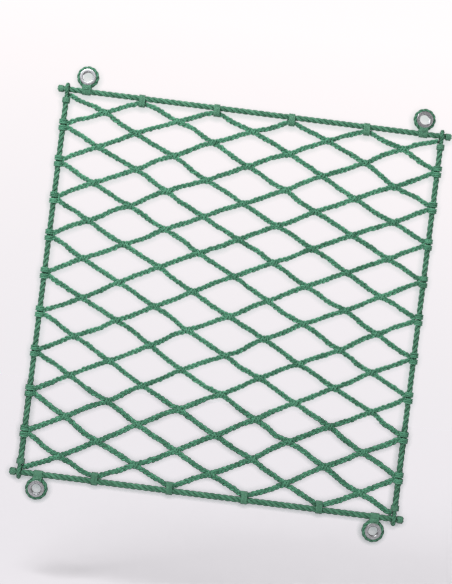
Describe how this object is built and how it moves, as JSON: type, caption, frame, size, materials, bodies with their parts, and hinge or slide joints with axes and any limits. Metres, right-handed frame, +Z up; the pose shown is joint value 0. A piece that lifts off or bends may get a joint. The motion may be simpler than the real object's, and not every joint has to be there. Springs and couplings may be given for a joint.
{
  "type": "cargo climbing net",
  "caption": "Climbing net of knotless green diamond mesh in a rope border with thimble eyes near its corners; the rows of mesh fold on each other.",
  "frame": {"origin": "middle of the net, halfway between the head rope and the foot rope and between the side ropes", "axes": "+X along the rows of mesh, +Z up towards the head rope, -Y out of the face that a climber meets"},
  "size_m": [0.934, 0.026, 1.0304],
  "materials": {
    "netting": "knitted polypropylene cord, matt with a soft sheen",
    "border_rope": "laid polypropylene rope, matt",
    "binding": "waxed binding twine, matt",
    "thimble": "satin stainless steel"
  },
  "bodies": {
    "head": {"head_rope": "border_rope", "hanging_beckets": "border_rope", "hanging_thimbles": "thimble", "hanging_seizings": "binding", "head_whippings": "binding"},
    "row_01": {"mesh_cord_01": "netting", "side_ropes_01": "border_rope", "head_lashings": "binding"},
    "row_02": {"mesh_cord_02": "netting", "side_ropes_02": "border_rope"},
    "row_03": {"mesh_cord_03": "netting", "side_ropes_03": "border_rope"},
    "row_04": {"mesh_cord_04": "netting", "side_ropes_04": "border_rope"},
    "row_05": {"mesh_cord_05": "netting", "side_ropes_05": "border_rope"},
    "row_06": {"mesh_cord_06": "netting", "side_ropes_06": "border_rope"},
    "row_07": {"mesh_cord_07": "netting", "side_ropes_07": "border_rope"},
    "row_08": {"mesh_cord_08": "netting", "side_ropes_08": "border_rope"},
    "row_09": {"mesh_cord_09": "netting", "side_ropes_09": "border_rope"},
    "row_10": {"mesh_cord_10": "netting", "side_ropes_10": "border_rope"},
    "row_11": {"mesh_cord_11": "netting", "side_ropes_11": "border_rope"},
    "row_12": {"mesh_cord_12": "netting", "side_ropes_12": "border_rope"},
    "row_13": {"mesh_cord_13": "netting", "side_ropes_13": "border_rope"},
    "row_14": {"mesh_cord_14": "netting", "side_ropes_14": "border_rope"},
    "row_15": {"mesh_cord_15": "netting", "side_ropes_15": "border_rope"},
    "row_16": {"mesh_cord_16": "netting", "side_ropes_16": "border_rope"},
    "row_17": {"mesh_cord_17": "netting", "side_ropes_17": "border_rope"},
    "row_18": {"mesh_cord_18": "netting", "side_ropes_18": "border_rope"},
    "row_19": {"mesh_cord_19": "netting", "side_ropes_19": "border_rope"},
    "row_20": {"mesh_cord_20": "netting", "side_ropes_20": "border_rope", "foot_lashings": "binding"},
    "foot": {"foot_rope": "border_rope", "anchor_beckets": "border_rope", "anchor_thimbles": "thimble", "anchor_seizings": "binding", "foot_whippings": "binding"}
  },
  "joints": [
    {"name": "head_swing", "type": "hinge", "parent": "head", "child": "row_01", "pos_m": [0, 0, 0.455], "axis": [1, 0, 0], "range_deg": [-45, 45]},
    {"name": "bend_01", "type": "hinge", "parent": "row_01", "child": "row_02", "pos_m": [0, 0, 0.413], "axis": [1, 0, 0], "range_deg": [-12, 12]},
    {"name": "bend_02", "type": "hinge", "parent": "row_02", "child": "row_03", "pos_m": [0, 0, 0.37063], "axis": [1, 0, 0], "range_deg": [-12, 12]},
    {"name": "bend_03", "type": "hinge", "parent": "row_03", "child": "row_04", "pos_m": [0, 0, 0.32789], "axis": [1, 0, 0], "range_deg": [-12, 12]},
    {"name": "bend_04", "type": "hinge", "parent": "row_04", "child": "row_05", "pos_m": [0, 0, 0.28479], "axis": [1, 0, 0], "range_deg": [-12, 12]},
    {"name": "bend_05", "type": "hinge", "parent": "row_05", "child": "row_06", "pos_m": [0, 0, 0.24132], "axis": [1, 0, 0], "range_deg": [-12, 12]},
    {"name": "bend_06", "type": "hinge", "parent": "row_06", "child": "row_07", "pos_m": [0, 0, 0.19747], "axis": [1, 0, 0], "range_deg": [-12, 12]},
    {"name": "bend_07", "type": "hinge", "parent": "row_07", "child": "row_08", "pos_m": [0, 0, 0.15326], "axis": [1, 0, 0], "range_deg": [-12, 12]},
    {"name": "bend_08", "type": "hinge", "parent": "row_08", "child": "row_09", "pos_m": [0, 0, 0.10868], "axis": [1, 0, 0], "range_deg": [-12, 12]},
    {"name": "bend_09", "type": "hinge", "parent": "row_09", "child": "row_10", "pos_m": [0, 0, 0.06374], "axis": [1, 0, 0], "range_deg": [-12, 12]},
    {"name": "bend_10", "type": "hinge", "parent": "row_10", "child": "row_11", "pos_m": [0, 0, 0.01842], "axis": [1, 0, 0], "range_deg": [-12, 12]},
    {"name": "bend_11", "type": "hinge", "parent": "row_11", "child": "row_12", "pos_m": [0, 0, -0.02726], "axis": [1, 0, 0], "range_deg": [-12, 12]},
    {"name": "bend_12", "type": "hinge", "parent": "row_12", "child": "row_13", "pos_m": [0, 0, -0.07332], "axis": [1, 0, 0], "range_deg": [-12, 12]},
    {"name": "bend_13", "type": "hinge", "parent": "row_13", "child": "row_14", "pos_m": [0, 0, -0.11974], "axis": [1, 0, 0], "range_deg": [-12, 12]},
    {"name": "bend_14", "type": "hinge", "parent": "row_14", "child": "row_15", "pos_m": [0, 0, -0.16653], "axis": [1, 0, 0], "range_deg": [-12, 12]},
    {"name": "bend_15", "type": "hinge", "parent": "row_15", "child": "row_16", "pos_m": [0, 0, -0.21368], "axis": [1, 0, 0], "range_deg": [-12, 12]},
    {"name": "bend_16", "type": "hinge", "parent": "row_16", "child": "row_17", "pos_m": [0, 0, -0.26121], "axis": [1, 0, 0], "range_deg": [-12, 12]},
    {"name": "bend_17", "type": "hinge", "parent": "row_17", "child": "row_18", "pos_m": [0, 0, -0.30911], "axis": [1, 0, 0], "range_deg": [-12, 12]},
    {"name": "bend_18", "type": "hinge", "parent": "row_18", "child": "row_19", "pos_m": [0, 0, -0.35737], "axis": [1, 0, 0], "range_deg": [-12, 12]},
    {"name": "bend_19", "type": "hinge", "parent": "row_19", "child": "row_20", "pos_m": [0, 0, -0.406], "axis": [1, 0, 0], "range_deg": [-12, 12]},
    {"name": "foot_turn", "type": "hinge", "parent": "row_20", "child": "foot", "pos_m": [0, 0, -0.455], "axis": [1, 0, 0], "range_deg": [-30, 30]}
  ]
}
